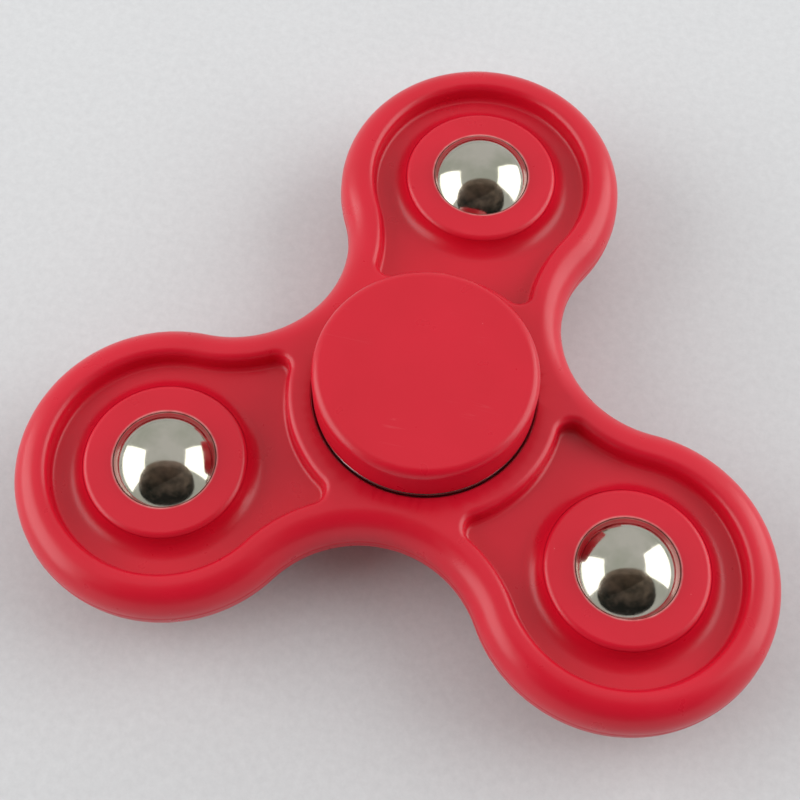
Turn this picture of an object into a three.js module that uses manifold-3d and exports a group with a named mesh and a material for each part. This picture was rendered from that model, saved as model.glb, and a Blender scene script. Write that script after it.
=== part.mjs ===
// Three-lobed hand spinner, millimetres, +Z up.
// The origin is the centre of the lower finger pad's flat face, on the spin axis.
// One lobe points along +Y. The pads and the inner race are held still; the rotor turns about +Z.

import * as THREE from 'three';
import { mergeVertices } from 'three/addons/utils/BufferGeometryUtils.js';
import Module from 'manifold-3d';

const wasm = await Module();
wasm.setup();

// ---- driving dimensions -------------------------------------------------------------------

// Rotor outline: three round lobes joined by hollow necks.
const LOBES = 3;
const LOBE_DISTANCE = 26;          // spin axis to a lobe's centre
const LOBE_RADIUS = 14.85;
const NECK_RADIUS = 11.5;          // hollow arc between two lobes, tangent to both
const BODY_THICKNESS = 7;
const EDGE_WIDTH = 2.6;            // the outer edge's round is an ellipse, in plan
const EDGE_HEIGHT = 3;             // and in height

// Recess in each face of each lobe, with a round boss in its middle.
const RECESS_DEPTH = 2.2;
const RIM_WIDTH = 2.75;            // outline to the recess's upper edge
const RECESS_HUB_RADIUS = 12.8;    // recess's hub-side upper edge, about the spin axis
const RECESS_CORNER = 2.2;         // corner radius of the upper edge
const WALL_ROUND = 0.85;           // round at the top of the recess wall
const WALL_FOOT = 0.4;             // hollow fillet at its foot
const BOSS_RADIUS = 7.9;
const BOSS_BREAK = 0.4;            // small bevel round the boss top
const BOSS_FILLET = 1.8;

// Steel weight ball in each boss, centred on the middle plane.
const WEIGHT_RADIUS = 6;
const WEIGHT_SEAT_GAP = 0.12;      // more than the depth of a facet

// Bearing of the 608 size.
const RACE_OUTER_RADIUS = 11;
const RACE_BORE_RADIUS = 4;
const RACE_WIDTH = 7;
const OUTER_LAND_RADIUS = 9.15;    // inside of the outer race, beside the ball groove
const INNER_LAND_RADIUS = 6.05;    // outside of the inner race
const BALL_COUNT = 7;
const BALL_RADIUS = 1.984;         // 5/32 inch balls
const PITCH_RADIUS = 7.5;
const GROOVE_GAP = 0.07;           // ball to groove
const PRESS_GAP = 0.05;            // race to body and pad stub to race
const FACE_GAP = 0.02;             // between faces that rest on each other

// Shield and its snap ring, seated in the outer race's mouth.
const SHIELD_STEP = 2.35;          // height of the step that the shield rests on
const SHIELD_THICKNESS = 0.25;
const SHIELD_RISE = 0.55;          // how far the shield's middle stands above its rim
const SHIELD_SEAT_RADIUS = 10.1;
const SHIELD_BORE_RADIUS = 6.35;
const SHIELD_RIM_GAP = 0.1;        // raised middle to the outer race's inside
const SHIELD_SLOPE = 0.5;          // width of the slope from rim to middle
const SNAP_GROOVE_RADIUS = 10.4;
const SNAP_GROOVE_LOW = 2.75;
const SNAP_GROOVE_HIGH = 3.15;
const SNAP_RING_WIDTH = 0.6;
const SNAP_RING_OPENING = 14;      // degrees

// Ball cage: two waved steel ribbons, back to back.
const CAGE_THICKNESS = 0.3;
const CAGE_HALF_WIDTH = 0.9;
const CAGE_BALL_GAP = 0.09;

// Finger pads: a thick flange, a shoulder on the inner race and a stub in its bore.
const PAD_RADIUS = 10.95;
const PAD_LOW = 3.75;              // flange's near face, above the middle plane
const PAD_HIGH = 8.5;              // flange's far face
const PAD_TOP_ROUND = 0.95;
const PAD_LOW_ROUND = 0.25;
const SHOULDER_RADIUS = 5.4;
const STUB_END = 0.2;              // the two stubs stop short of each other

// Facets.
const LOBE_STEPS = 20;
const NECK_STEPS = 8;
const HUB_ARC_STEPS = 4;
const ROUND_STEPS = 3;
const FILLET_STEPS = 2;
const GROOVE_STEPS = 4;
const LARGE_ROUND = 40;
const BOSS_ROUND = 24;
const WEIGHT_ROUND = 24;
const BALL_ROUND = 12;
const CAGE_ARC_STEPS = 6;

// ---- values that follow -------------------------------------------------------------------

const HALF_THICKNESS = BODY_THICKNESS / 2;
const HALF_WIDTH = RACE_WIDTH / 2;
const LOBE_ANGLE = 2 * Math.PI / LOBES;
const RECESS_FLOOR = HALF_THICKNESS - RECESS_DEPTH;
const BEYOND = 1;                  // how far a cutting solid reaches past what it cuts
const SAME_POINT = 1e-5;           // points closer than this are one point
const LOBE_TO_NECK = LOBE_RADIUS + NECK_RADIUS;
// A neck's centre lies on the line midway between two lobes, LOBE_TO_NECK from both.
const NECK_DISTANCE = LOBE_DISTANCE * Math.cos(LOBE_ANGLE / 2)
  + Math.sqrt(LOBE_TO_NECK ** 2 - (LOBE_DISTANCE * Math.sin(LOBE_ANGLE / 2)) ** 2);
const UP = Math.PI / 2;

// ---- materials ----------------------------------------------------------------------------

const finish = (name, color, roughness, metalness) => () => (
  new THREE.MeshStandardMaterial({ name, color, roughness, metalness }));

const bodyPlastic = finish('body_plastic', 0xcc2236, 0.35, 0);
const padPlastic = finish('pad_plastic', 0xcb2e3f, 0.35, 0);
const polishedSteel = finish('polished_steel', 0xbdb9b0, 0.08, 1);
const raceSteel = finish('race_steel', 0xa9abad, 0.25, 1);
const sheetSteel = finish('sheet_steel', 0x9c9ea0, 0.35, 1);

// ---- outlines -----------------------------------------------------------------------------

const mirrored = (p) => new THREE.Vector2(-p.x, p.y);
const angleTo = (from, to) => Math.atan2(to.y - from.y, to.x - from.x);

function polar(radius, angle) {
  return new THREE.Vector2(radius * Math.cos(angle), radius * Math.sin(angle));
}

// Points of an arc from one angle to another, both ends included.
function arc(centre, radius, from, to, steps) {
  const points = [];
  for (let i = 0; i <= steps; i += 1) {
    points.push(polar(radius, from + (to - from) * i / steps).add(centre));
  }
  return points;
}

// The angle that differs from the first by the shorter turn to the second.
function shortWay(from, to) {
  return from + Math.atan2(Math.sin(to - from), Math.cos(to - from));
}

// Points of an arc about a centre between the directions of two other points, the shorter way round.
function arcBetween(centre, radius, first, second, steps) {
  const from = angleTo(centre, first);
  return arc(centre, radius, from, shortWay(from, angleTo(centre, second)), steps);
}

// The point where circles about a and b meet, on the left of the line from a to b.
function circlesMeet(a, radiusA, b, radiusB) {
  const apart = a.distanceTo(b);
  const along = (apart ** 2 + radiusA ** 2 - radiusB ** 2) / (2 * apart);
  const aside = Math.sqrt(radiusA ** 2 - along ** 2);
  const direction = b.clone().sub(a).normalize();
  const left = new THREE.Vector2(-direction.y, direction.x);
  return a.clone().addScaledVector(direction, along).addScaledVector(left, aside);
}

// Rotor outline moved inwards by inset. The arcs keep their centres, so they stay tangent.
function rotorOutline(inset) {
  const points = [];
  for (let i = 0; i < LOBES; i += 1) {
    const toLobe = UP + i * LOBE_ANGLE;
    const lobe = polar(LOBE_DISTANCE, toLobe);
    const neckAfter = polar(NECK_DISTANCE, toLobe + LOBE_ANGLE / 2);
    const nextLobe = polar(LOBE_DISTANCE, toLobe + LOBE_ANGLE);
    const lobeEnd = shortWay(toLobe, angleTo(lobe, neckAfter));
    const lobeStart = 2 * toLobe - lobeEnd;
    points.push(...arc(lobe, LOBE_RADIUS - inset, lobeStart, lobeEnd, LOBE_STEPS).slice(0, -1));
    points.push(...arcBetween(neckAfter, NECK_RADIUS + inset, lobe, nextLobe, NECK_STEPS).slice(0, -1));
  }
  return points;
}

// Recess outline about the +Y lobe, moved inwards by inset from its upper edge.
// It follows the lobe and the two necks, then a corner, then an arc about the spin axis.
function recessOutline(inset) {
  const hub = new THREE.Vector2(0, 0);
  const lobe = new THREE.Vector2(0, LOBE_DISTANCE);
  const neck = polar(NECK_DISTANCE, UP - LOBE_ANGLE / 2);
  const corner = circlesMeet(
    hub, RECESS_HUB_RADIUS + RECESS_CORNER, neck, NECK_RADIUS + RIM_WIDTH + RECESS_CORNER);
  const tip = new THREE.Vector2(0, LOBE_DISTANCE + LOBE_RADIUS);
  const right = [
    ...arcBetween(hub, RECESS_HUB_RADIUS + inset, tip, corner, HUB_ARC_STEPS),
    ...arcBetween(corner, RECESS_CORNER - inset, hub, neck, ROUND_STEPS),
    ...arcBetween(neck, NECK_RADIUS + RIM_WIDTH + inset, corner, lobe, HUB_ARC_STEPS),
    ...arcBetween(lobe, LOBE_RADIUS - RIM_WIDTH - inset, neck, tip, LOBE_STEPS / 2),
  ];
  const half = withoutRepeats(right);
  return [...half, ...half.slice(1, -1).reverse().map(mirrored)];
}

function withoutRepeats(points) {
  return points.filter((p, i) => i === 0 || p.distanceTo(points[i - 1]) > SAME_POINT);
}

// ---- solids -------------------------------------------------------------------------------

// Closed skin over rings of equal point counts, listed from bottom to top, anticlockwise from above.
function loft(rings) {
  const count = rings[0].points.length;
  const position = rings.flatMap(({ points, z }) => points.flatMap((p) => [p.x, p.y, z]));
  const index = [];
  for (let level = 0; level < rings.length - 1; level += 1) {
    for (let i = 0; i < count; i += 1) {
      const a = level * count + i;
      const b = level * count + (i + 1) % count;
      index.push(a, b, b + count, a, b + count, a + count);
    }
  }
  const last = (rings.length - 1) * count;
  for (const [a, b, c] of THREE.ShapeUtils.triangulateShape(rings[0].points, [])) {
    index.push(a, c, b);
  }
  for (const [a, b, c] of THREE.ShapeUtils.triangulateShape(rings.at(-1).points, [])) {
    index.push(last + a, last + b, last + c);
  }
  return indexed(position, index);
}

function indexed(position, index) {
  const geometry = new THREE.BufferGeometry();
  geometry.setAttribute('position', new THREE.Float32BufferAttribute(position, 3));
  geometry.setIndex(index);
  return geometry;
}

// Geometry with only its places left and its shared corners merged.
function welded(geometry) {
  const bare = geometry.clone();
  bare.deleteAttribute('normal');
  bare.deleteAttribute('uv');
  return mergeVertices(bare, SAME_POINT);
}

function toSolid(geometry) {
  const merged = welded(geometry);
  return new wasm.Manifold(new wasm.Mesh({
    numProp: 3,
    vertProperties: new Float32Array(merged.getAttribute('position').array),
    triVerts: new Uint32Array(merged.getIndex().array),
  }));
}

function fromSolid(solid) {
  const mesh = solid.getMesh();
  return indexed(Array.from(mesh.vertProperties), Array.from(mesh.triVerts));
}

// Solid of revolution about Z from [radius, z] pairs that close on themselves.
function turned(profile, segments) {
  const points = [...profile, profile[0]].map(([radius, z]) => new THREE.Vector2(radius, z));
  return welded(new THREE.LatheGeometry(points, segments).rotateX(UP));
}

function ball(radius, segments) {
  return welded(new THREE.SphereGeometry(radius, segments, segments / 2).rotateX(UP));
}

// [radius, z] pairs along an arc about a centre, between two angles in degrees.
function round([radius, z], size, from, to, steps = ROUND_STEPS) {
  const centre = new THREE.Vector2(radius, z);
  const degree = Math.PI / 180;
  return arc(centre, size, from * degree, to * degree, steps).map((p) => [p.x, p.y]);
}

// ---- rotor --------------------------------------------------------------------------------

function rotorShell() {
  const straight = HALF_THICKNESS - EDGE_HEIGHT;
  const upper = round([-1, 0], 1, 0, 90).map(([reach, rise]) => (
    { points: rotorOutline(-reach * EDGE_WIDTH), z: straight + rise * EDGE_HEIGHT }));
  const lower = upper.map(({ points, z }) => ({ points, z: -z })).reverse();
  return loft([...lower, ...upper]);
}

// Space of one recess: an upright wall with a round above and a small hollow bevel at its foot.
function recessSpace() {
  const roundOver = round([0, HALF_THICKNESS - WALL_ROUND], WALL_ROUND, 0, 90);
  const levels = [
    [WALL_ROUND + WALL_FOOT, RECESS_FLOOR],
    [WALL_ROUND, RECESS_FLOOR + WALL_FOOT],
    ...roundOver,
    [0, HALF_THICKNESS + BEYOND],
  ];
  return toSolid(loft(levels.map(([inset, z]) => ({ points: recessOutline(inset), z }))));
}

// Boss with a broken upper edge and a hollow fillet around its foot.
function bossSolid() {
  const foot = RECESS_FLOOR + BOSS_FILLET;
  const below = RECESS_FLOOR - BEYOND;
  const profile = [
    [0, below],
    [BOSS_RADIUS + BOSS_FILLET, below],
    ...round([BOSS_RADIUS + BOSS_FILLET, foot], BOSS_FILLET, 270, 180, FILLET_STEPS),
    [BOSS_RADIUS, HALF_THICKNESS - BOSS_BREAK],
    [BOSS_RADIUS - BOSS_BREAK, HALF_THICKNESS],
    [BOSS_RADIUS - BOSS_BREAK, HALF_THICKNESS + 2 * BEYOND],
    [0, HALF_THICKNESS + 2 * BEYOND],
  ];
  return toSolid(turned(profile, BOSS_ROUND).translate(0, LOBE_DISTANCE, 0));
}

function rotorBody() {
  const bore = RACE_OUTER_RADIUS + PRESS_GAP;
  const reach = HALF_THICKNESS + BEYOND;
  const plug = turned([[0, -reach], [bore, -reach], [bore, reach], [0, reach]], LARGE_ROUND);
  let body = toSolid(rotorShell()).subtract(toSolid(plug));
  const recess = fromSolid(recessSpace().subtract(bossSolid()));
  const seat = ball(WEIGHT_RADIUS + WEIGHT_SEAT_GAP, WEIGHT_ROUND).translate(0, LOBE_DISTANCE, 0);
  for (let i = 0; i < LOBES; i += 1) {
    const angle = i * LOBE_ANGLE;
    body = body.subtract(toSolid(recess.clone().rotateZ(angle)));
    body = body.subtract(toSolid(recess.clone().rotateY(Math.PI).rotateZ(angle)));
    body = body.subtract(toSolid(seat.clone().rotateZ(angle)));
  }
  return fromSolid(body);
}

// ---- bearing ------------------------------------------------------------------------------

const GROOVE_RADIUS = BALL_RADIUS + GROOVE_GAP;

// Degrees, seen from a ball's centre, at which its groove runs out at a land.
function grooveEdge(landRadius) {
  return Math.acos(Math.abs(landRadius - PITCH_RADIUS) / GROOVE_RADIUS) * 180 / Math.PI;
}

function outerRace() {
  const edge = grooveEdge(OUTER_LAND_RADIUS);
  const mouth = [
    [OUTER_LAND_RADIUS, SHIELD_STEP],
    [SHIELD_SEAT_RADIUS, SHIELD_STEP],
    [SHIELD_SEAT_RADIUS, SNAP_GROOVE_LOW],
    [SNAP_GROOVE_RADIUS, SNAP_GROOVE_LOW],
    [SNAP_GROOVE_RADIUS, SNAP_GROOVE_HIGH],
    [SHIELD_SEAT_RADIUS, SNAP_GROOVE_HIGH],
    [SHIELD_SEAT_RADIUS, HALF_WIDTH],
    [RACE_OUTER_RADIUS, HALF_WIDTH],
  ];
  const below = mouth.map(([radius, z]) => [radius, -z]);
  const groove = round([PITCH_RADIUS, 0], GROOVE_RADIUS, edge, -edge, GROOVE_STEPS);
  return turned([...below, ...mouth.slice().reverse(), ...groove], LARGE_ROUND);
}

function innerRace() {
  const edge = grooveEdge(INNER_LAND_RADIUS);
  const profile = [
    [RACE_BORE_RADIUS, -HALF_WIDTH],
    [INNER_LAND_RADIUS, -HALF_WIDTH],
    ...round([PITCH_RADIUS, 0], GROOVE_RADIUS, 180 + edge, 180 - edge, GROOVE_STEPS),
    [INNER_LAND_RADIUS, HALF_WIDTH],
    [RACE_BORE_RADIUS, HALF_WIDTH],
  ];
  return turned(profile, LARGE_ROUND);
}

// One ribbon of the cage: flat between the balls and arched over each of them.
function cageHalf() {
  const inner = BALL_RADIUS + CAGE_BALL_GAP;
  const outer = inner + CAGE_THICKNESS;
  const lowEnd = Math.acos(FACE_GAP / inner);
  const highEnd = Math.acos((FACE_GAP + CAGE_THICKNESS) / outer);
  const arches = [];
  for (let i = 0; i <= CAGE_ARC_STEPS; i += 1) {
    const share = 2 * i / CAGE_ARC_STEPS - 1;
    arches.push([polar(inner, UP - lowEnd * share), polar(outer, UP - highEnd * share)]);
  }
  const position = [];
  const index = [];
  for (let i = 0; i < BALL_COUNT; i += 1) {
    const along = new THREE.Matrix4().makeRotationZ(i * 2 * Math.PI / BALL_COUNT);
    for (const [low, high] of arches) {
      const corners = [
        new THREE.Vector3(PITCH_RADIUS - CAGE_HALF_WIDTH, low.x, low.y),
        new THREE.Vector3(PITCH_RADIUS + CAGE_HALF_WIDTH, low.x, low.y),
        new THREE.Vector3(PITCH_RADIUS + CAGE_HALF_WIDTH, high.x, high.y),
        new THREE.Vector3(PITCH_RADIUS - CAGE_HALF_WIDTH, high.x, high.y),
      ];
      corners.forEach((corner) => position.push(...corner.applyMatrix4(along).toArray()));
    }
  }
  const sections = BALL_COUNT * arches.length;
  const sides = 4;
  for (let section = 0; section < sections; section += 1) {
    for (let side = 0; side < sides; side += 1) {
      const a = section * sides + side;
      const b = section * sides + (side + 1) % sides;
      const c = (section + 1) % sections * sides + (side + 1) % sides;
      const d = (section + 1) % sections * sides + side;
      index.push(a, c, b, a, d, c);
    }
  }
  return indexed(position, index);
}

function shield() {
  const low = SHIELD_STEP + FACE_GAP;
  const high = low + SHIELD_RISE;
  const outside = SHIELD_SEAT_RADIUS - PRESS_GAP;
  const rimInside = OUTER_LAND_RADIUS - SHIELD_RIM_GAP;
  const bend = rimInside - SHIELD_SLOPE;
  const t = SHIELD_THICKNESS;
  const profile = [
    [SHIELD_BORE_RADIUS, high],
    [bend, high],
    [rimInside, low],
    [outside, low],
    [outside, low + t],
    [rimInside, low + t],
    [bend, high + t],
    [SHIELD_BORE_RADIUS, high + t],
  ];
  return turned(profile, LARGE_ROUND);
}

function snapRing() {
  const outside = SNAP_GROOVE_RADIUS - PRESS_GAP;
  const inside = outside - SNAP_RING_WIDTH;
  const opening = THREE.MathUtils.degToRad(SNAP_RING_OPENING) / 2;
  const from = UP + opening;
  const to = UP - opening + 2 * Math.PI;
  const shape = new THREE.Shape(arc(new THREE.Vector2(), outside, from, to, LARGE_ROUND));
  arc(new THREE.Vector2(), inside, to, from, LARGE_ROUND).forEach((p) => shape.lineTo(p.x, p.y));
  const depth = SNAP_GROOVE_HIGH - SNAP_GROOVE_LOW - 2 * FACE_GAP;
  const ring = new THREE.ExtrudeGeometry(shape, { depth, bevelEnabled: false, curveSegments: 1 });
  return welded(ring.translate(0, 0, SNAP_GROOVE_LOW + FACE_GAP));
}

// ---- finger pad ---------------------------------------------------------------------------

function fingerPad() {
  const shoulder = HALF_WIDTH + FACE_GAP;
  const stub = RACE_BORE_RADIUS - PRESS_GAP;
  const profile = [
    [0, STUB_END],
    [stub, STUB_END],
    [stub, shoulder],
    [SHOULDER_RADIUS, shoulder],
    [SHOULDER_RADIUS, PAD_LOW],
    ...round([PAD_RADIUS - PAD_LOW_ROUND, PAD_LOW + PAD_LOW_ROUND], PAD_LOW_ROUND, 270, 360, 1),
    ...round([PAD_RADIUS - PAD_TOP_ROUND, PAD_HIGH - PAD_TOP_ROUND], PAD_TOP_ROUND, 0, 90),
    [0, PAD_HIGH],
  ];
  return turned(profile, LARGE_ROUND);
}

// ---- assembly -----------------------------------------------------------------------------

function piece(name, geometry, material) {
  const mesh = new THREE.Mesh(geometry, material());
  mesh.name = name;
  return mesh;
}

// The same piece above the middle plane and, turned over, below it.
function facingPair(name, geometry, material) {
  const upper = piece(`${name}_upper`, geometry, material);
  const lower = piece(`${name}_lower`, geometry.clone(), material);
  lower.rotation.x = Math.PI;
  return [upper, lower];
}

const spinner = new THREE.Group();
spinner.position.z = PAD_HIGH;

const rotor = new THREE.Group();
rotor.add(piece('rotor_body', rotorBody(), bodyPlastic));
for (let i = 0; i < LOBES; i += 1) {
  const weight = piece(`weight_ball_${i + 1}`, ball(WEIGHT_RADIUS, WEIGHT_ROUND), polishedSteel);
  const place = polar(LOBE_DISTANCE, UP + i * LOBE_ANGLE);
  weight.position.set(place.x, place.y, 0);
  rotor.add(weight);
}
rotor.add(piece('bearing_outer_race', outerRace(), raceSteel));
rotor.add(...facingPair('bearing_shield', shield(), sheetSteel));
rotor.add(...facingPair('snap_ring', snapRing(), sheetSteel));
spinner.add(rotor);

const cage = new THREE.Group();
cage.add(...facingPair('ball_cage', cageHalf(), sheetSteel));
for (let i = 0; i < BALL_COUNT; i += 1) {
  const rolling = piece(`bearing_ball_${i + 1}`, ball(BALL_RADIUS, BALL_ROUND), polishedSteel);
  const place = polar(PITCH_RADIUS, i * 2 * Math.PI / BALL_COUNT);
  rolling.position.set(place.x, place.y, 0);
  cage.add(rolling);
}
spinner.add(cage);

const fingerHub = new THREE.Group();
fingerHub.add(piece('bearing_inner_race', innerRace(), raceSteel));
fingerHub.add(...facingPair('finger_pad', fingerPad(), padPlastic));
spinner.add(fingerHub);

export default spinner;
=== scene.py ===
"""Three-lobed hand spinner, standing on its lower finger pad. Metres, +Z up."""

import math

import bmesh
import bpy
from mathutils import Matrix, Vector
from mathutils.geometry import delaunay_2d_cdt


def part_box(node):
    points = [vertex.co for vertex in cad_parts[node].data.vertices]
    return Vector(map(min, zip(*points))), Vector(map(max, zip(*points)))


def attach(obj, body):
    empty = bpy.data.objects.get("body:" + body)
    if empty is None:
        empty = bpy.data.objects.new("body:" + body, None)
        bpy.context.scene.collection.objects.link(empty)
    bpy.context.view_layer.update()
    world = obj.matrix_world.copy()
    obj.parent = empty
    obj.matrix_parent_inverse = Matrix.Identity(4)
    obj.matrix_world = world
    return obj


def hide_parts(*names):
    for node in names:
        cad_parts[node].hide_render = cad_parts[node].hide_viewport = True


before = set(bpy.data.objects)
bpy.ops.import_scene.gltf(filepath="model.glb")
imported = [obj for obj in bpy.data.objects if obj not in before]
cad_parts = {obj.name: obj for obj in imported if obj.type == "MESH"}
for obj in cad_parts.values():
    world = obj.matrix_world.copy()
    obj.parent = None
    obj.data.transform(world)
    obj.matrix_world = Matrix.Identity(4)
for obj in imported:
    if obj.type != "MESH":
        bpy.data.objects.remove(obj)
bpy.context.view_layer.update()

MM = 0.001
TURN = 2 * math.pi

# ---- sizes read from the frame ------------------------------------------------------------


def centre(node):
    low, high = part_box(node)
    return (low + high) / 2


def size(node):
    low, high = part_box(node)
    return high - low


MIDDLE = centre("rotor_body").z                 # height of the rotor's middle plane
HALF_THICKNESS = size("rotor_body").z / 2
WEIGHTS = [f"weight_ball_{i + 1}" for i in range(3)]
LOBE_DISTANCE = centre("weight_ball_1").y       # spin axis to a lobe's centre
LOBE_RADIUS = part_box("rotor_body")[1].y - LOBE_DISTANCE
WEIGHT_RADIUS = size("weight_ball_1").z / 2
PAD_RADIUS = size("finger_pad_upper").y / 2
PAD_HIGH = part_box("finger_pad_upper")[1].z - MIDDLE
RACE_RADIUS = size("bearing_outer_race").y / 2
HALF_WIDTH = size("bearing_outer_race").z / 2
ROLLERS = [f"bearing_ball_{i + 1}" for i in range(7)]
ROLLER_RADIUS = size("bearing_ball_1").z / 2
PITCH_RADIUS = centre("bearing_ball_1").x

# ---- sizes of the visible shape -----------------------------------------------------------

LOBES = len(WEIGHTS)
LOBE_ANGLE = TURN / LOBES
UP = math.pi / 2
NECK_RADIUS = 11.5 * MM
EDGE_WIDTH = 2.6 * MM           # the outer edge's round is an ellipse, in plan
EDGE_HEIGHT = 3.0 * MM          # and in height
SEAM_HEIGHT = 0.04 * MM         # mould parting line round the rotor's edge
SEAM_HALF_WIDTH = 0.09 * MM

RIM_WIDTH = 2.75 * MM           # outline to the recess's upper edge
RECESS_DEPTH = 2.2 * MM
RECESS_HUB_RADIUS = 12.8 * MM
RECESS_CORNER = 2.2 * MM
WALL_ROUND = 0.8 * MM           # upper round of the recess wall
WALL_DRAFT = 0.05 * MM          # how far the straight middle of the wall leans in
WALL_FILLET = 0.5 * MM          # hollow at its foot
BOSS_RADIUS = 7.9 * MM
BOSS_ROUND = 0.6 * MM
BOSS_FILLET = 1.8 * MM
SEAT_GAP = 0.004 * MM
SEAT_LIP = 0.08 * MM            # round of the boss's inner edge, against the ball
LIP_HIGHLIGHT_START = 4.98               # millimetres from a weight's axis: a painted highlight, a pale ring on the seat's lip round the pressed-in ball, fading outwards
LIP_HIGHLIGHT_END = 5.17                 # pressed-in ball, fading outwards
BORE_GAP = 0.03 * MM
BORE_CHAMFER = 0.25 * MM

PAD_LOW = 3.75 * MM             # pad flange's near face, above the middle plane
PAD_TOP_ROUND = 0.95 * MM
PAD_LOW_ROUND = 0.25 * MM
SHOULDER_RADIUS = 5.4 * MM
STUB_RADIUS = 3.97 * MM
STUB_END = 0.2 * MM
STUB_CHAMFER = 0.35 * MM
SHOULDER_CHAMFER = 0.2 * MM
PAD_ROUND_STEPS = 12
PAD_FACE_RING = 0.6             # of the pad's radius: where its flat face has one more ring

LOBE_STEPS = 96                 # steps of the arcs and circles in the meshes
NECK_STEPS = 40
HUB_ARC_STEPS = 16
CORNER_STEPS = 14
WAIST_STEPS = 24
ROUND_STEPS = 8
EDGE_STEPS = 14
SEAT_STEPS = 24
LATHE_STEPS = 160

# ---- outlines -----------------------------------------------------------------------------


def polar(radius, angle):
    return Vector((radius * math.cos(angle), radius * math.sin(angle)))


def angle_to(start, end):
    return math.atan2(end.y - start.y, end.x - start.x)


def short_way(start, end):
    """The angle that differs from start by the shorter turn to end."""
    return start + math.atan2(math.sin(end - start), math.cos(end - start))


def arc(middle, radius, start, end, steps):
    """Points of an arc from one angle to another, both ends included."""
    angles = [start + (end - start) * i / steps for i in range(steps + 1)]
    return [middle + polar(radius, angle) for angle in angles]


def arc_between(middle, radius, first, second, steps):
    """Points of an arc between the directions of two other points, the shorter way round."""
    start = angle_to(middle, first)
    return arc(middle, radius, start, short_way(start, angle_to(middle, second)), steps)


def circles_meet(a, radius_a, b, radius_b):
    """Where circles about a and b meet, on the left of the line from a to b."""
    apart = (b - a).length
    along = (apart**2 + radius_a**2 - radius_b**2) / (2 * apart)
    aside = math.sqrt(radius_a**2 - along**2)
    direction = (b - a) / apart
    return a + direction * along + Vector((-direction.y, direction.x)) * aside


HUB = Vector((0, 0))
LOBE_TO_NECK = LOBE_RADIUS + NECK_RADIUS
# A neck's centre lies midway between two lobes, LOBE_TO_NECK from both.
NECK_DISTANCE = LOBE_DISTANCE * math.cos(LOBE_ANGLE / 2) + math.sqrt(
    LOBE_TO_NECK**2 - (LOBE_DISTANCE * math.sin(LOBE_ANGLE / 2)) ** 2
)


def rotor_outline(inset):
    """The rotor's outline moved inwards. The arcs keep their centres, so they stay tangent."""
    points = []
    for i in range(LOBES):
        to_lobe = UP + i * LOBE_ANGLE
        lobe = polar(LOBE_DISTANCE, to_lobe)
        next_lobe = polar(LOBE_DISTANCE, to_lobe + LOBE_ANGLE)
        neck = polar(NECK_DISTANCE, to_lobe + LOBE_ANGLE / 2)
        end = short_way(to_lobe, angle_to(lobe, neck))
        points += arc(lobe, LOBE_RADIUS - inset, 2 * to_lobe - end, end, LOBE_STEPS)[:-1]
        points += arc_between(neck, NECK_RADIUS + inset, lobe, next_lobe, NECK_STEPS)[:-1]
    return points


def recess_outline(inset):
    """The recess's outline about the +Y lobe, moved inwards from its upper edge."""
    lobe = Vector((0, LOBE_DISTANCE))
    tip = Vector((0, LOBE_DISTANCE + LOBE_RADIUS))
    neck = polar(NECK_DISTANCE, UP - LOBE_ANGLE / 2)
    corner = circles_meet(
        HUB, RECESS_HUB_RADIUS + RECESS_CORNER, neck, NECK_RADIUS + RIM_WIDTH + RECESS_CORNER
    )
    half = arc_between(HUB, RECESS_HUB_RADIUS + inset, tip, corner, HUB_ARC_STEPS)
    half += arc_between(corner, RECESS_CORNER - inset, HUB, neck, CORNER_STEPS)[1:]
    half += arc_between(neck, NECK_RADIUS + RIM_WIDTH + inset, corner, lobe, WAIST_STEPS)[1:]
    half += arc_between(lobe, LOBE_RADIUS - RIM_WIDTH - inset, neck, tip, LOBE_STEPS // 2)[1:]
    return half + [Vector((-p.x, p.y)) for p in reversed(half[1:-1])]


def circle(middle, radius, steps):
    return arc(middle, radius, 0, TURN, steps)[:-1]


def rounded(reach, height, radius, start, end, steps=ROUND_STEPS):
    """(reach, height) pairs of a round about a centre, between two angles in degrees."""
    middle = Vector((reach, height))
    return [tuple(p) for p in arc(middle, radius, math.radians(start), math.radians(end), steps)]


# ---- mesh tools ---------------------------------------------------------------------------

ALL_INSIDE = 1                  # the triangles that delaunay_2d_cdt is asked for
SAME_POINT = 1e-6               # millimetres: points closer than this are one
ON_AXIS = 1e-7                  # metres: a smaller radius is a point on the axis


def add_ring(mesh, points, height):
    return [mesh.verts.new((p.x, p.y, height)) for p in points]


def bridge(mesh, first, second):
    count = len(first)
    for i in range(count):
        j = (i + 1) % count
        mesh.faces.new((first[i], first[j], second[j], second[i]))


def bridge_all(mesh, rings):
    for first, second in zip(rings, rings[1:]):
        bridge(mesh, first, second)


def encloses(ring, point):
    """Whether a point lies inside a ring of flat corners."""
    inside = False
    for a, b in zip(ring, ring[1:] + ring[:1]):
        if (a.y > point.y) != (b.y > point.y):
            crossing = a.x + (b.x - a.x) * (point.y - a.y) / (b.y - a.y)
            inside ^= crossing > point.x
    return inside


def fill_between(mesh, rings):
    """Flat face inside the first ring and outside the others."""
    corners = []
    flat = []
    edges = []
    owner = []
    for which, ring in enumerate(rings):
        start = len(corners)
        count = len(ring)
        corners += ring
        flat += [vertex.co.to_2d() / MM for vertex in ring]
        edges += [(start + i, start + (i + 1) % count) for i in range(count)]
        owner += [which] * count
    outlines = []
    for which in range(len(rings)):
        outlines.append([point for point, ring in zip(flat, owner) if ring == which])
    _, _, triangles, sources, _, _ = delaunay_2d_cdt(flat, edges, [], ALL_INSIDE, SAME_POINT)
    for triangle in triangles:
        at = [sources[i][0] for i in triangle]
        which = owner[at[0]]
        middle = (flat[at[0]] + flat[at[1]] + flat[at[2]]) / 3
        one_ring = all(owner[i] == which for i in at)
        if not (one_ring and which > 0 and encloses(outlines[which], middle)):
            mesh.faces.new([corners[i] for i in at])


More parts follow.
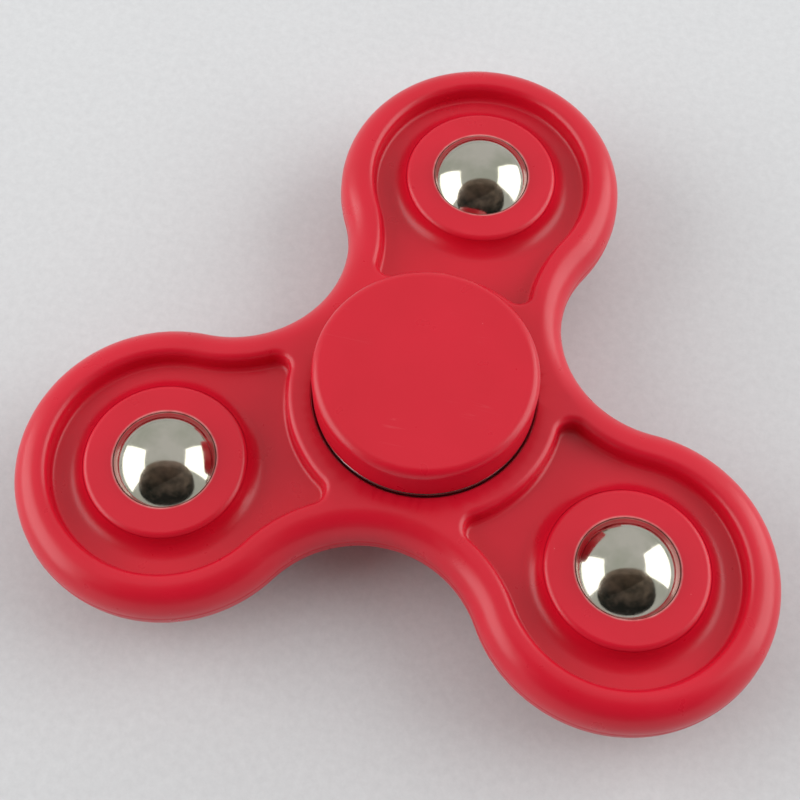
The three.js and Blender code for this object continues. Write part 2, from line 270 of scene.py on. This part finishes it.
def finished(mesh, name, material, split_degrees=50):
    """A smooth-shaded object from a bmesh, with sharp edges past the split angle."""
    bmesh.ops.recalc_face_normals(mesh, faces=mesh.faces)
    data = bpy.data.meshes.new(name)
    mesh.to_mesh(data)
    mesh.free()
    data.materials.append(material)
    data.shade_smooth()
    data.set_sharp_from_angle(angle=math.radians(split_degrees))
    piece = bpy.data.objects.new(name, data)
    bpy.context.scene.collection.objects.link(piece)
    normals = piece.modifiers.new("normals", "WEIGHTED_NORMAL")
    normals.keep_sharp = True
    normals.weight = 100
    return piece


def turned(name, profile, material, steps=LATHE_STEPS, closed=False):
    """Solid of revolution about the spin axis from (radius, height) pairs above the middle plane.
    An open profile starts and ends on the axis. A closed one runs back to its start."""
    mesh = bmesh.new()
    rings = []
    for radius, height in profile:
        if radius < ON_AXIS:
            rings.append([mesh.verts.new((0, 0, height))])
        else:
            rings.append(add_ring(mesh, circle(HUB, radius, steps), height))
    pairs = list(zip(rings, rings[1:]))
    if closed:
        pairs.append((rings[-1], rings[0]))
    for first, second in pairs:
        if len(first) == 1 or len(second) == 1:
            tip, ring = (first[0], second) if len(first) == 1 else (second[0], first)
            for a, b in zip(ring, ring[1:] + ring[:1]):
                mesh.faces.new((tip, a, b))
        else:
            bridge(mesh, first, second)
    bmesh.ops.translate(mesh, verts=mesh.verts, vec=(0, 0, MIDDLE))
    return finished(mesh, name, material)


# ---- materials ----------------------------------------------------------------------------


def new_material(name):
    material = bpy.data.materials.new(name)
    material.use_nodes = True
    tree = material.node_tree
    return material, tree, tree.nodes["Principled BSDF"]


def add_node(tree, kind, inputs=None, **settings):
    """A node whose inputs are given by name, each a value or another node's output."""
    node = tree.nodes.new(kind)
    for key, value in settings.items():
        setattr(node, key, value)
    for key, value in (inputs or {}).items():
        if isinstance(value, bpy.types.NodeSocket):
            tree.links.new(value, node.inputs[key])
        else:
            node.inputs[key].default_value = value
    return node


def millimetres(tree, stretch=(1, 1, 1), turn=0.0):
    """The piece's own coordinates, in millimetres, stretched and turned about Z."""
    place = add_node(tree, "ShaderNodeTexCoord").outputs["Object"]
    scale = [s / MM for s in stretch]
    inputs = {"Vector": place, "Scale": scale, "Rotation": (0, 0, turn)}
    return add_node(tree, "ShaderNodeMapping", inputs).outputs["Vector"]


def noise(tree, place, per_mm, detail=2.0, roughness=0.5):
    inputs = {"Vector": place, "Scale": per_mm, "Detail": detail, "Roughness": roughness}
    return add_node(tree, "ShaderNodeTexNoise", inputs).outputs["Fac"]


def spread(tree, value, low, high, start=0.0, end=1.0):
    """value carried from low..high to start..end and held there."""
    inputs = {"Value": value, "From Min": low, "From Max": high, "To Min": start, "To Max": end}
    return add_node(tree, "ShaderNodeMapRange", inputs).outputs["Result"]


def calculate(tree, operation, a, b=0.0):
    return add_node(tree, "ShaderNodeMath", {0: a, 1: b}, operation=operation).outputs["Value"]


def mix_colours(tree, share, a, b):
    node = add_node(tree, "ShaderNodeMix", data_type="RGBA")
    for socket, value in (("Factor_Float", share), ("A_Color", a), ("B_Color", b)):
        target = next(s for s in node.inputs if s.identifier == socket)
        if isinstance(value, bpy.types.NodeSocket):
            tree.links.new(value, target)
        else:
            target.default_value = value
    return next(s for s in node.outputs if s.identifier == "Result_Color")


def bump(tree, height, distance, under=None):
    inputs = {"Height": height, "Distance": distance, "Strength": 1.0}
    if under is not None:
        inputs["Normal"] = under
    return add_node(tree, "ShaderNodeBump", inputs).outputs["Normal"]


def specks(tree, place, per_mm, reach, share):
    """1 on small round marks in a share of the cells of a grid, 0 elsewhere."""
    cells = add_node(tree, "ShaderNodeTexVoronoi", {"Vector": place, "Scale": per_mm})
    mark = spread(tree, cells.outputs["Distance"], reach, reach * 0.5)
    parts = add_node(tree, "ShaderNodeSeparateColor", {"Color": cells.outputs["Color"]})
    chosen = calculate(tree, "GREATER_THAN", parts.outputs["Red"], 1 - share)
    return calculate(tree, "MULTIPLY", mark, chosen)


def scratches(tree, turn, per_mm, share):
    """1 on fine, nearly straight lines that run one way, in patches."""
    along = millimetres(tree, stretch=(0.03, 1, 1), turn=turn)
    lines = noise(tree, along, per_mm, detail=0.0)
    off_middle = calculate(tree, "ABSOLUTE", calculate(tree, "SUBTRACT", lines, 0.5))
    line = spread(tree, off_middle, 0.010, 0.0)
    patches = spread(tree, noise(tree, millimetres(tree, turn=turn), 0.16), 1 - share, 1.08 - share)
    return calculate(tree, "MULTIPLY", line, patches)


FAR_AWAY = 1000.0               # millimetres, farther than any of the axes


def painted_lip_highlight(tree, place, axes):
    """Painted highlight on the seat lips: its strength, on a narrow ring round each upright axis."""
    flat = add_node(tree, "ShaderNodeVectorMath", {0: place, 1: (1, 1, 0)}, operation="MULTIPLY")
    nearest = FAR_AWAY
    for axis in axes:
        ends = {0: flat.outputs["Vector"], 1: (*axis, 0)}
        apart = add_node(tree, "ShaderNodeVectorMath", ends, operation="DISTANCE")
        nearest = calculate(tree, "MINIMUM", apart.outputs["Value"], nearest)
    ring = spread(tree, nearest, LIP_HIGHLIGHT_START, LIP_HIGHLIGHT_END, 1.0, 0.0)
    uneven = spread(tree, noise(tree, place, 0.9, detail=3.0), 0.3, 0.65, 0.35, 0.9)
    return calculate(tree, "MULTIPLY", ring, uneven)


def moulded_plastic(name, colour, deep, rub, pressed=()):
    """Satin moulded ABS: slow colour drift, spark-eroded grain, dust specks and handling scratches.
    It has a painted highlight, a pale ring round the axes of the pressed-in balls."""
    material, tree, shader = new_material(name)
    place = millimetres(tree)
    drift = spread(tree, noise(tree, place, 0.11, detail=3.0), 0.35, 0.7)
    base = mix_colours(tree, drift, colour, deep)
    dust = specks(tree, place, 0.45, 0.04, 0.16)
    worn = calculate(tree, "MAXIMUM", scratches(tree, 0.6, 1.6, rub), scratches(tree, -0.9, 2.2, rub))
    pale = (0.82, 0.30, 0.32, 1)
    base = mix_colours(tree, calculate(tree, "MULTIPLY", dust, 0.5), base, pale)
    base = mix_colours(tree, calculate(tree, "MULTIPLY", worn, 0.10), base, pale)
    # painted highlight: a pale ring on each seat's lip, round the axes of the pressed-in balls
    if pressed:
        base = mix_colours(tree, painted_lip_highlight(tree, place, pressed), base, (0.74, 0.34, 0.33, 1))
    tree.links.new(base, shader.inputs["Base Color"])
    cloud = spread(tree, noise(tree, place, 0.35, detail=4.0), 0.3, 0.7, 0.27, 0.34)
    rough = calculate(tree, "ADD", cloud, calculate(tree, "MULTIPLY", worn, 0.10))
    tree.links.new(rough, shader.inputs["Roughness"])
    flow = bump(tree, noise(tree, place, 0.09, detail=1.0), 0.02 * MM)
    grain = bump(tree, noise(tree, place, 5.5, detail=3.0, roughness=0.65), 0.005 * MM, flow)
    cut = bump(tree, calculate(tree, "MULTIPLY", worn, -1.0), 0.003 * MM, grain)
    tree.links.new(cut, shader.inputs["Normal"])
    shader.inputs["IOR"].default_value = 1.45
    shader.inputs["Specular IOR Level"].default_value = 0.52
    return material


def polished_steel(name):
    """Bright nickel-grey ball steel with hairlines too fine to see one by one."""
    material, tree, shader = new_material(name)
    place = millimetres(tree)
    tint = spread(tree, noise(tree, place, 0.3, detail=3.0), 0.35, 0.65)
    base = mix_colours(tree, tint, (0.40, 0.400, 0.325, 1), (0.52, 0.495, 0.430, 1))
    tree.links.new(base, shader.inputs["Base Color"])
    hair = scratches(tree, 0.3, 2.5, 0.55)
    cloud = spread(tree, noise(tree, place, 1.2, detail=4.0), 0.3, 0.7, 0.08, 0.14)
    rough = calculate(tree, "ADD", cloud, calculate(tree, "MULTIPLY", hair, 0.06))
    tree.links.new(rough, shader.inputs["Roughness"])
    tree.links.new(bump(tree, noise(tree, place, 3.0), 0.0006 * MM), shader.inputs["Normal"])
    shader.inputs["Metallic"].default_value = 1.0
    return material


def ground_steel(name, colour, lines_per_mm):
    """Steel ground in the lathe: fine rings about the spin axis."""
    material, tree, shader = new_material(name)
    place = millimetres(tree)
    parts = add_node(tree, "ShaderNodeSeparateXYZ", {"Vector": place})
    flat = add_node(tree, "ShaderNodeCombineXYZ", {"X": parts.outputs["X"], "Y": parts.outputs["Y"]})
    radius = add_node(tree, "ShaderNodeVectorMath", {0: flat.outputs["Vector"]}, operation="LENGTH")
    unrolled = {"X": radius.outputs["Value"], "Z": parts.outputs["Z"]}
    rings = add_node(tree, "ShaderNodeCombineXYZ", unrolled)
    ground = noise(tree, rings.outputs["Vector"], lines_per_mm, detail=4.0, roughness=0.7)
    dark = tuple(0.8 * c for c in colour[:3]) + (1,)
    base = mix_colours(tree, spread(tree, ground, 0.3, 0.7), dark, colour)
    tree.links.new(base, shader.inputs["Base Color"])
    tree.links.new(spread(tree, ground, 0.3, 0.7, 0.18, 0.34), shader.inputs["Roughness"])
    tree.links.new(bump(tree, ground, 0.002 * MM), shader.inputs["Normal"])
    shader.inputs["Metallic"].default_value = 1.0
    return material


LOBE_AXES = [tuple(polar(LOBE_DISTANCE / MM, UP + i * LOBE_ANGLE)) for i in range(LOBES)]
RED = moulded_plastic(
    "body_red", (0.620, 0.0065, 0.026, 1), (0.570, 0.0050, 0.021, 1), rub=0.30, pressed=LOBE_AXES
)
PAD_RED = moulded_plastic("pad_red", (0.610, 0.0045, 0.023, 1), (0.570, 0.0035, 0.019, 1), rub=0.40)
BALL_STEEL = polished_steel("ball_steel")
RACE_STEEL = ground_steel("race_steel", (0.55, 0.56, 0.57, 1), 9.0)
SHEET_STEEL = ground_steel("sheet_steel", (0.48, 0.49, 0.50, 1), 4.0)

# ---- rotor --------------------------------------------------------------------------------


def placed(points, turn):
    """Points turned about the spin axis."""
    cosine = math.cos(turn)
    sine = math.sin(turn)
    return [Vector((p.x * cosine - p.y * sine, p.x * sine + p.y * cosine)) for p in points]


def edge_profile():
    """(inset, height) up the rotor's outer edge, with the parting line at the middle."""
    straight = HALF_THICKNESS - EDGE_HEIGHT
    circle_edge = rounded(-1, 0, 1, 0, 90, EDGE_STEPS)
    upper = [(-x * EDGE_WIDTH, straight + z * EDGE_HEIGHT) for x, z in circle_edge]
    half = [(0, SEAM_HALF_WIDTH)] + upper
    return [(inset, -z) for inset, z in reversed(half)] + [(-SEAM_HEIGHT, 0)] + half


def wall_profile():
    """(inset, height) down a recess wall, from the plate to the floor."""
    floor = HALF_THICKNESS - RECESS_DEPTH
    upper = rounded(0, HALF_THICKNESS - WALL_ROUND, WALL_ROUND, 90, 0)
    foot = WALL_ROUND + WALL_DRAFT + WALL_FILLET
    lower = rounded(foot, floor + WALL_FILLET, WALL_FILLET, 180, 270)
    return upper + lower


def boss_profile():
    """(radius, height) up a boss, from the floor to its top."""
    floor = HALF_THICKNESS - RECESS_DEPTH
    foot = rounded(BOSS_RADIUS + BOSS_FILLET, floor + BOSS_FILLET, BOSS_FILLET, 270, 180)
    top = rounded(BOSS_RADIUS - BOSS_ROUND, HALF_THICKNESS - BOSS_ROUND, BOSS_ROUND, 0, 90)
    return foot + top


def seat_profile():
    """(radius, height) down the round seat that grips a weight ball, lip to lip.
    The lip's round touches both the boss's flat top and the seat."""
    seat = WEIGHT_RADIUS + SEAT_GAP
    lip_height = HALF_THICKNESS - SEAT_LIP
    lip_reach = math.sqrt((seat + SEAT_LIP) ** 2 - lip_height**2)
    touch = math.degrees(math.atan2(-lip_height, -lip_reach)) + 360
    lip = rounded(lip_reach, lip_height, SEAT_LIP, 90, touch)
    heights = [lip[-1][1] * (1 - 2 * i / SEAT_STEPS) for i in range(1, SEAT_STEPS)]
    inside = [(math.sqrt(seat**2 - z**2), z) for z in heights]
    return lip + inside + [(reach, -z) for reach, z in reversed(lip)]


def rotor_body():
    mesh = bmesh.new()
    edge = [add_ring(mesh, rotor_outline(inset), z) for inset, z in edge_profile()]
    bridge_all(mesh, edge)
    bore = RACE_RADIUS + BORE_GAP
    shoulder = HALF_THICKNESS - BORE_CHAMFER
    bore_profile = [
        (bore + BORE_CHAMFER, HALF_THICKNESS),
        (bore, shoulder),
        (bore, -shoulder),
        (bore + BORE_CHAMFER, -HALF_THICKNESS),
    ]
    hole = [add_ring(mesh, circle(HUB, radius, LATHE_STEPS), z) for radius, z in bore_profile]
    bridge_all(mesh, hole)
    seats = []
    for i in range(LOBES):
        lobe = polar(LOBE_DISTANCE, UP + i * LOBE_ANGLE)
        seats.append([add_ring(mesh, circle(lobe, r, LOBE_STEPS), z) for r, z in seat_profile()])
        bridge_all(mesh, seats[-1])
    for side in (1, -1):
        plate = [edge[-1], hole[0]] if side > 0 else [edge[0], hole[-1]]
        for i in range(LOBES):
            turn = i * LOBE_ANGLE
            lobe = polar(LOBE_DISTANCE, UP + turn)
            wall = []
            for inset, z in wall_profile():
                wall.append(add_ring(mesh, placed(recess_outline(inset), turn), side * z))
            boss = [add_ring(mesh, circle(lobe, r, LOBE_STEPS), side * z) for r, z in boss_profile()]
            bridge_all(mesh, wall)
            bridge_all(mesh, boss)
            bridge(mesh, boss[-1], seats[i][0] if side > 0 else seats[i][-1])
            fill_between(mesh, [wall[-1], boss[0]])
            plate.append(wall[0])
        fill_between(mesh, plate)
    bmesh.ops.translate(mesh, verts=mesh.verts, vec=(0, 0, MIDDLE))
    return finished(mesh, "rotor_moulding", RED)


# ---- balls --------------------------------------------------------------------------------

WEIGHT_CUTS = 31
ROLLER_CUTS = 13


def ball(name, at, radius, cuts, material):
    """A round ball of near-square facets, with no poles."""
    mesh = bmesh.new()
    bmesh.ops.create_cube(mesh, size=2)
    bmesh.ops.subdivide_edges(mesh, edges=mesh.edges, cuts=cuts, use_grid_fill=True)
    for vertex in mesh.verts:
        even = Vector([math.tan(c * math.pi / 4) for c in vertex.co])
        vertex.co = even.normalized() * radius + at
    return finished(mesh, name, material)


# ---- bearing ------------------------------------------------------------------------------

GROOVE_RADIUS = ROLLER_RADIUS + 0.03 * MM
GROOVE_STEPS = 24
OUTER_LAND = 9.15 * MM
INNER_LAND = size("bearing_inner_race").y / 2
INNER_BORE = 4.0 * MM
RACE_CHAMFER = 0.3 * MM
OUTER_MOUTH_CHAMFER = 0.1 * MM
INNER_LAND_CHAMFER = 0.15 * MM
SHIELD_STEP = 2.35 * MM
SHIELD_RISE = 0.55 * MM
SHIELD_THICKNESS = 0.25 * MM
SHIELD_RING_DEPTH = 0.07 * MM
SHIELD_TURN_IN = 0.12 * MM
SHIELD_BEND = 0.1 * MM
FACE_GAP = 0.02 * MM            # from a face to the face or plane that it rests on
SHIELD_SEAT = 10.1 * MM
SNAP_GROOVE = 10.4 * MM
SNAP_LOW = 2.75 * MM
SNAP_HIGH = 3.15 * MM
SNAP_RING_WIDTH = 0.6 * MM
SNAP_RING_GAP = 0.05 * MM       # to the bottom of its groove
SNAP_SIDE_GAP = 0.03 * MM       # to the groove's sides
SNAP_CORNER = 0.06 * MM
SNAP_HALF_OPENING = math.radians(7)
CAGE_BALL_GAP = 0.09 * MM
CAGE_THICKNESS = 0.3 * MM
CAGE_HALF_WIDTH = 0.9 * MM
CAGE_ARCH_STEPS = 24
RIVET_CIRCLE = 0.985            # of the pitch circle's radius
RIVET_STEPS = 20
# (radius, height above the middle plane) up a rivet's head, in millimetres
RIVET_DOME = [(0.5, 0.33), (0.5, 0.36), (0.44, 0.47), (0.3, 0.54), (0.12, 0.58)]


def groove(start, end):
    return rounded(PITCH_RADIUS, 0, GROOVE_RADIUS, start, end, GROOVE_STEPS)


def groove_edge(land):
    return math.degrees(math.acos(abs(land - PITCH_RADIUS) / GROOVE_RADIUS))


def outer_race():
    chamfer = HALF_WIDTH - RACE_CHAMFER
    mouth = [
        (OUTER_LAND, SHIELD_STEP),
        (SHIELD_SEAT, SHIELD_STEP),
        (SHIELD_SEAT, SNAP_LOW),
        (SNAP_GROOVE, SNAP_LOW),
        (SNAP_GROOVE, SNAP_HIGH),
        (SHIELD_SEAT, SNAP_HIGH),
        (SHIELD_SEAT, HALF_WIDTH - OUTER_MOUTH_CHAMFER),
        (SHIELD_SEAT + OUTER_MOUTH_CHAMFER, HALF_WIDTH),
        (RACE_RADIUS - RACE_CHAMFER, HALF_WIDTH),
        (RACE_RADIUS, chamfer),
    ]
    edge = groove_edge(OUTER_LAND)
    lower = [(r, -z) for r, z in reversed(mouth)]
    profile = lower + groove(-edge, edge) + mouth
    return turned("outer_race_ring", profile, RACE_STEEL, closed=True)


def inner_race():
    chamfer = HALF_WIDTH - RACE_CHAMFER
    upper = [
        (INNER_LAND, HALF_WIDTH - INNER_LAND_CHAMFER),
        (INNER_LAND - INNER_LAND_CHAMFER, HALF_WIDTH),
        (INNER_BORE + RACE_CHAMFER, HALF_WIDTH),
        (INNER_BORE, chamfer),
    ]
    edge = groove_edge(INNER_LAND)
    lower = [(r, -z) for r, z in reversed(upper)]
    profile = lower + groove(180 + edge, 180 - edge) + upper
    return turned("inner_race_ring", profile, RACE_STEEL, closed=True)


def shield(side):
    """Dished sheet-steel washer with a flat rim, a pressed ring and a turned-in bore."""
    low = SHIELD_STEP + FACE_GAP
    high = low + SHIELD_RISE
    ring = high - SHIELD_RING_DEPTH
    path = [
        (6.35, high - SHIELD_TURN_IN),  # bore
        (6.5, high),
        (7.4, high),                    # pressed ring
        (7.55, ring),
        (7.9, ring),
        (8.05, high),
        (8.5, high),                    # slope down to the rim
        (8.65, high - SHIELD_BEND),
        (8.95, low + SHIELD_BEND),
        (9.1, low),
        (10.05, low),
    ]
    under = [(r * MM, z) for r, z in path]
    over = [(r, z + SHIELD_THICKNESS) for r, z in reversed(under)]
    profile = [(r, side * z) for r, z in under + over]
    name = "shield_pressing_upper" if side > 0 else "shield_pressing_lower"
    return turned(name, profile, SHEET_STEEL, closed=True)


def snap_ring(side):
    """Open ring of flat wire with a gap at one lobe."""
    outside = SNAP_GROOVE - SNAP_RING_GAP
    inside = outside - SNAP_RING_WIDTH
    low = SNAP_LOW + SNAP_SIDE_GAP
    high = SNAP_HIGH - SNAP_SIDE_GAP
    section = [
        (inside + SNAP_CORNER, low),
        (outside - SNAP_CORNER, low),
        (outside, low + SNAP_CORNER),
        (outside, high - SNAP_CORNER),
        (outside - SNAP_CORNER, high),
        (inside + SNAP_CORNER, high),
        (inside, high - SNAP_CORNER),
        (inside, low + SNAP_CORNER),
    ]
    start = side * UP + SNAP_HALF_OPENING
    end = side * UP - SNAP_HALF_OPENING + TURN
    mesh = bmesh.new()
    rings = []
    for i in range(LATHE_STEPS + 1):
        angle = start + (end - start) * i / LATHE_STEPS
        rings.append([mesh.verts.new((*polar(r, angle), MIDDLE + side * z)) for r, z in section])
    bridge_all(mesh, rings)
    mesh.faces.new(rings[0])
    mesh.faces.new(rings[-1])
    name = "snap_ring_wire_upper" if side > 0 else "snap_ring_wire_lower"
    return finished(mesh, name, SHEET_STEEL)


def cage_ribbon(side):
    """Waved ribbon, flat between the balls and arched over each, with a rivet head on each flat."""
    inner = ROLLER_RADIUS + CAGE_BALL_GAP
    outer = inner + CAGE_THICKNESS
    low_end = math.acos(FACE_GAP / inner)
    high_end = math.acos((FACE_GAP + CAGE_THICKNESS) / outer)
    count = len(ROLLERS)
    mesh = bmesh.new()
    rings = []
    for i in range(count):
        along = Matrix.Rotation(i * TURN / count, 3, "Z")
        for j in range(CAGE_ARCH_STEPS + 1):
            share = 2 * j / CAGE_ARCH_STEPS - 1
            low = polar(inner, UP - low_end * share)
            high = polar(outer, UP - high_end * share)
            corners = [(-1, low), (1, low), (1, high), (-1, high)]
            section = []
            for s, p in corners:
                place = along @ Vector((PITCH_RADIUS + s * CAGE_HALF_WIDTH, p.x, p.y))
                section.append(mesh.verts.new((place.x, place.y, MIDDLE + side * place.z)))
            rings.append(section)
    bridge_all(mesh, rings)
    bridge(mesh, rings[-1], rings[0])
    for i in range(count):
        at = polar(PITCH_RADIUS * RIVET_CIRCLE, (i + 0.5) * TURN / count)
        heads = []
        for r, z in RIVET_DOME:
            heads.append(add_ring(mesh, circle(at, r * MM, RIVET_STEPS), MIDDLE + side * z * MM))
        bridge_all(mesh, heads)
        mesh.faces.new(heads[0])
        mesh.faces.new(heads[-1])
    name = "cage_ribbon_upper" if side > 0 else "cage_ribbon_lower"
    return finished(mesh, name, SHEET_STEEL)


# ---- finger pad ---------------------------------------------------------------------------


def finger_pad(side):
    """Flange with rounded edges, a shoulder that rests on the inner race, and a stub in its bore."""
    shoulder = HALF_WIDTH + FACE_GAP
    profile = [
        (0, STUB_END),
        (STUB_RADIUS - STUB_CHAMFER, STUB_END),
        (STUB_RADIUS, STUB_END + STUB_CHAMFER),
        (STUB_RADIUS, shoulder),
        (SHOULDER_RADIUS, shoulder),
        (SHOULDER_RADIUS, PAD_LOW - SHOULDER_CHAMFER),
        (SHOULDER_RADIUS + SHOULDER_CHAMFER, PAD_LOW),
    ]
    low_reach = PAD_RADIUS - PAD_LOW_ROUND
    top_reach = PAD_RADIUS - PAD_TOP_ROUND
    profile += rounded(low_reach, PAD_LOW + PAD_LOW_ROUND, PAD_LOW_ROUND, 270, 360)
    profile += rounded(top_reach, PAD_HIGH - PAD_TOP_ROUND, PAD_TOP_ROUND, 0, 90, PAD_ROUND_STEPS)
    profile += [(PAD_RADIUS * PAD_FACE_RING, PAD_HIGH), (0, PAD_HIGH)]
    name = "finger_pad_cap_upper" if side > 0 else "finger_pad_cap_lower"
    return turned(name, [(r, side * z) for r, z in profile], PAD_RED)


# ---- assembly -----------------------------------------------------------------------------


def fit(piece, node, body):
    """piece stands for a CAD node, which it hides, and moves with its body."""
    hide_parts(node)
    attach(piece, body)


fit(rotor_body(), "rotor_body", "rotor")
for i, node in enumerate(WEIGHTS):
    weight = ball(f"weight_ball_steel_{i + 1}", centre(node), WEIGHT_RADIUS, WEIGHT_CUTS, BALL_STEEL)
    fit(weight, node, "rotor")
fit(outer_race(), "bearing_outer_race", "rotor")
fit(inner_race(), "bearing_inner_race", "finger_hub")
for i, node in enumerate(ROLLERS):
    roller = ball(f"bearing_ball_steel_{i + 1}", centre(node), ROLLER_RADIUS, ROLLER_CUTS, BALL_STEEL)
    fit(roller, node, f"rolling_ball_{i + 1}")
for side, word in ((1, "upper"), (-1, "lower")):
    fit(shield(side), f"bearing_shield_{word}", "rotor")
    fit(snap_ring(side), f"snap_ring_{word}", "rotor")
    fit(cage_ribbon(side), f"ball_cage_{word}", "ball_cage")
    fit(finger_pad(side), f"finger_pad_{word}", "finger_hub")

# ---- camera -------------------------------------------------------------------------------

CAMERA_AZIMUTH = math.radians(12.08)
CAMERA_ELEVATION = math.radians(65.48)
CAMERA_ROLL = math.radians(1.78)
CAMERA_DISTANCE = 140.1 * MM
CAMERA_RIGHT = -2.38 * MM
CAMERA_UP = 0.50 * MM
LENS = 62.8                     # millimetres
SENSOR_WIDTH = 36               # millimetres


def aim_camera():
    spin = Matrix.Rotation(CAMERA_AZIMUTH, 3, "Z")
    forward = spin @ Vector((0, math.cos(CAMERA_ELEVATION), -math.sin(CAMERA_ELEVATION)))
    right = spin @ Vector((1, 0, 0))
    up = right.cross(forward)
    place = Vector((0, 0, MIDDLE)) - forward * CAMERA_DISTANCE + right * CAMERA_RIGHT + up * CAMERA_UP
    across = right * math.cos(CAMERA_ROLL) + up * math.sin(CAMERA_ROLL)
    above = up * math.cos(CAMERA_ROLL) - right * math.sin(CAMERA_ROLL)
    turned_to = Matrix((across, above, -forward)).transposed()
    data = bpy.data.cameras.new("camera")
    data.lens = LENS
    data.sensor_width = SENSOR_WIDTH
    data.clip_start = 1 * MM
    camera = bpy.data.objects.new("camera", data)
    camera.matrix_world = Matrix.Translation(place) @ turned_to.to_4x4()
    bpy.context.scene.collection.objects.link(camera)
    bpy.context.scene.camera = camera


aim_camera()

# ---- stage and light ----------------------------------------------------------------------

TENT = 400 * MM                 # half the width of the light tent around the spinner
BOARD_DISTANCE = 320 * MM       # spinner to the dark boards
BOARD_TAPER = 0.16              # share by which a board's outline narrows towards its top
BLUNTNESS = 0.75                # 1 leaves a board round, less gives it flatter sides
BOARD_STEPS = 64


def floor():
    material, tree, shader = new_material("floor_grey")
    tone = spread(tree, noise(tree, millimetres(tree), 0.02, detail=3.0), 0.3, 0.7)
    base = mix_colours(tree, tone, (0.65, 0.665, 0.685, 1), (0.68, 0.695, 0.715, 1))
    weave = noise(tree, millimetres(tree), 1.1, detail=4.0, roughness=0.7)
    fibre = spread(tree, weave, 0.3, 0.7, 0.0, 0.16)
    base = mix_colours(tree, fibre, base, (0.30, 0.30, 0.32, 1))
    tree.links.new(base, shader.inputs["Base Color"])
    shader.inputs["Roughness"].default_value = 0.9
    mesh = bmesh.new()
    bmesh.ops.create_grid(mesh, x_segments=1, y_segments=1, size=4 * TENT)
    finished(mesh, "floor", material)


def panel(name, along, low, high, side, strength):
    """A glowing side wall of the tent. along is its near and far end, towards the back."""
    data = bpy.data.lights.new(name, "AREA")
    data.shape = "RECTANGLE"
    data.size = along[1] - along[0]
    data.size_y = high - low
    data.energy = strength * math.pi * data.size * data.size_y
    data.color = (1.0, 0.99, 0.97)
    light = bpy.data.objects.new(name, data)
    spin = Matrix.Rotation(CAMERA_AZIMUTH, 4, "Z")
    place = Matrix.Translation((side * TENT, sum(along) / 2, (low + high) / 2))
    # A light shines along its own -Z: stand it up, then face it inwards.
    face = Matrix.Rotation(side * UP, 4, "Z") @ Matrix.Rotation(UP, 4, "X")
    light.matrix_world = spin @ place @ face
    light.visible_camera = False
    bpy.context.scene.collection.objects.link(light)


def blunt(value):
    """A sine or cosine swelled so that its circle grows flat sides."""
    return math.copysign(abs(value) ** BLUNTNESS, value)


def room_board(name, direction, half_width, half_height, in_reflections):
    """A dark board for the dark side of the room behind the camera, wider below.
    It is either seen in reflections or it holds back soft light."""
    material, tree, shader = new_material(name)
    place = add_node(tree, "ShaderNodeTexCoord").outputs["Object"]
    height = add_node(tree, "ShaderNodeSeparateXYZ", {"Vector": place}).outputs["Y"]
    cloud = spread(tree, noise(tree, place, 2.6, detail=5.0, roughness=0.65), 0.3, 0.7, -0.75, 0.75)
    tone = spread(tree, calculate(tree, "ADD", height, cloud), -0.6, 0.9)
    base = mix_colours(tree, tone, (0.010, 0.011, 0.009, 1), (0.24, 0.17, 0.14, 1))
    tree.links.new(base, shader.inputs["Base Color"])
    shader.inputs["Roughness"].default_value = 1.0
    mesh = bmesh.new()
    angles = [i * TURN / BOARD_STEPS for i in range(BOARD_STEPS)]
    outline = []
    for angle in angles:
        narrowing = 1 - BOARD_TAPER * math.sin(angle)
        outline.append((blunt(math.cos(angle)) * narrowing, blunt(math.sin(angle))))
    mesh.faces.new([mesh.verts.new((x, y, 0)) for x, y in outline])
    board = finished(mesh, name, material)
    towards = Matrix.Rotation(CAMERA_AZIMUTH, 3, "Z") @ Vector(direction)
    facing = towards.to_track_quat("Z", "Y").to_matrix().to_4x4()
    shape = Matrix.Diagonal((half_width, half_height, 1, 1))
    board.matrix_world = Matrix.Translation(towards * BOARD_DISTANCE) @ facing @ shape
    board.visible_camera = False
    board.visible_shadow = False
    board.visible_glossy = in_reflections
    board.visible_diffuse = not in_reflections


def sky():
    world = bpy.data.worlds.new("tent")
    world.use_nodes = True
    back = world.node_tree.nodes["Background"]
    back.inputs["Color"].default_value = (0.72, 0.725, 0.72, 1)
    back.inputs["Strength"].default_value = 1.0
    bpy.context.scene.world = world


floor()
panel("panel_left", (-0.66 * TENT, 0.52 * TENT), 0.10 * TENT, 1.25 * TENT, -1, 2.6)
panel("panel_right", (-0.26 * TENT, 0.87 * TENT), 0.10 * TENT, 1.50 * TENT, 1, 2.6)
room_board("board_in_reflections", (0.03, -0.68, 0.73), 0.37, 0.29, in_reflections=True)
room_board("board_for_shade", (0.0, -0.64, 0.77), 0.30, 0.18, in_reflections=False)
sky()
bpy.context.scene.view_settings.view_transform = "Standard"
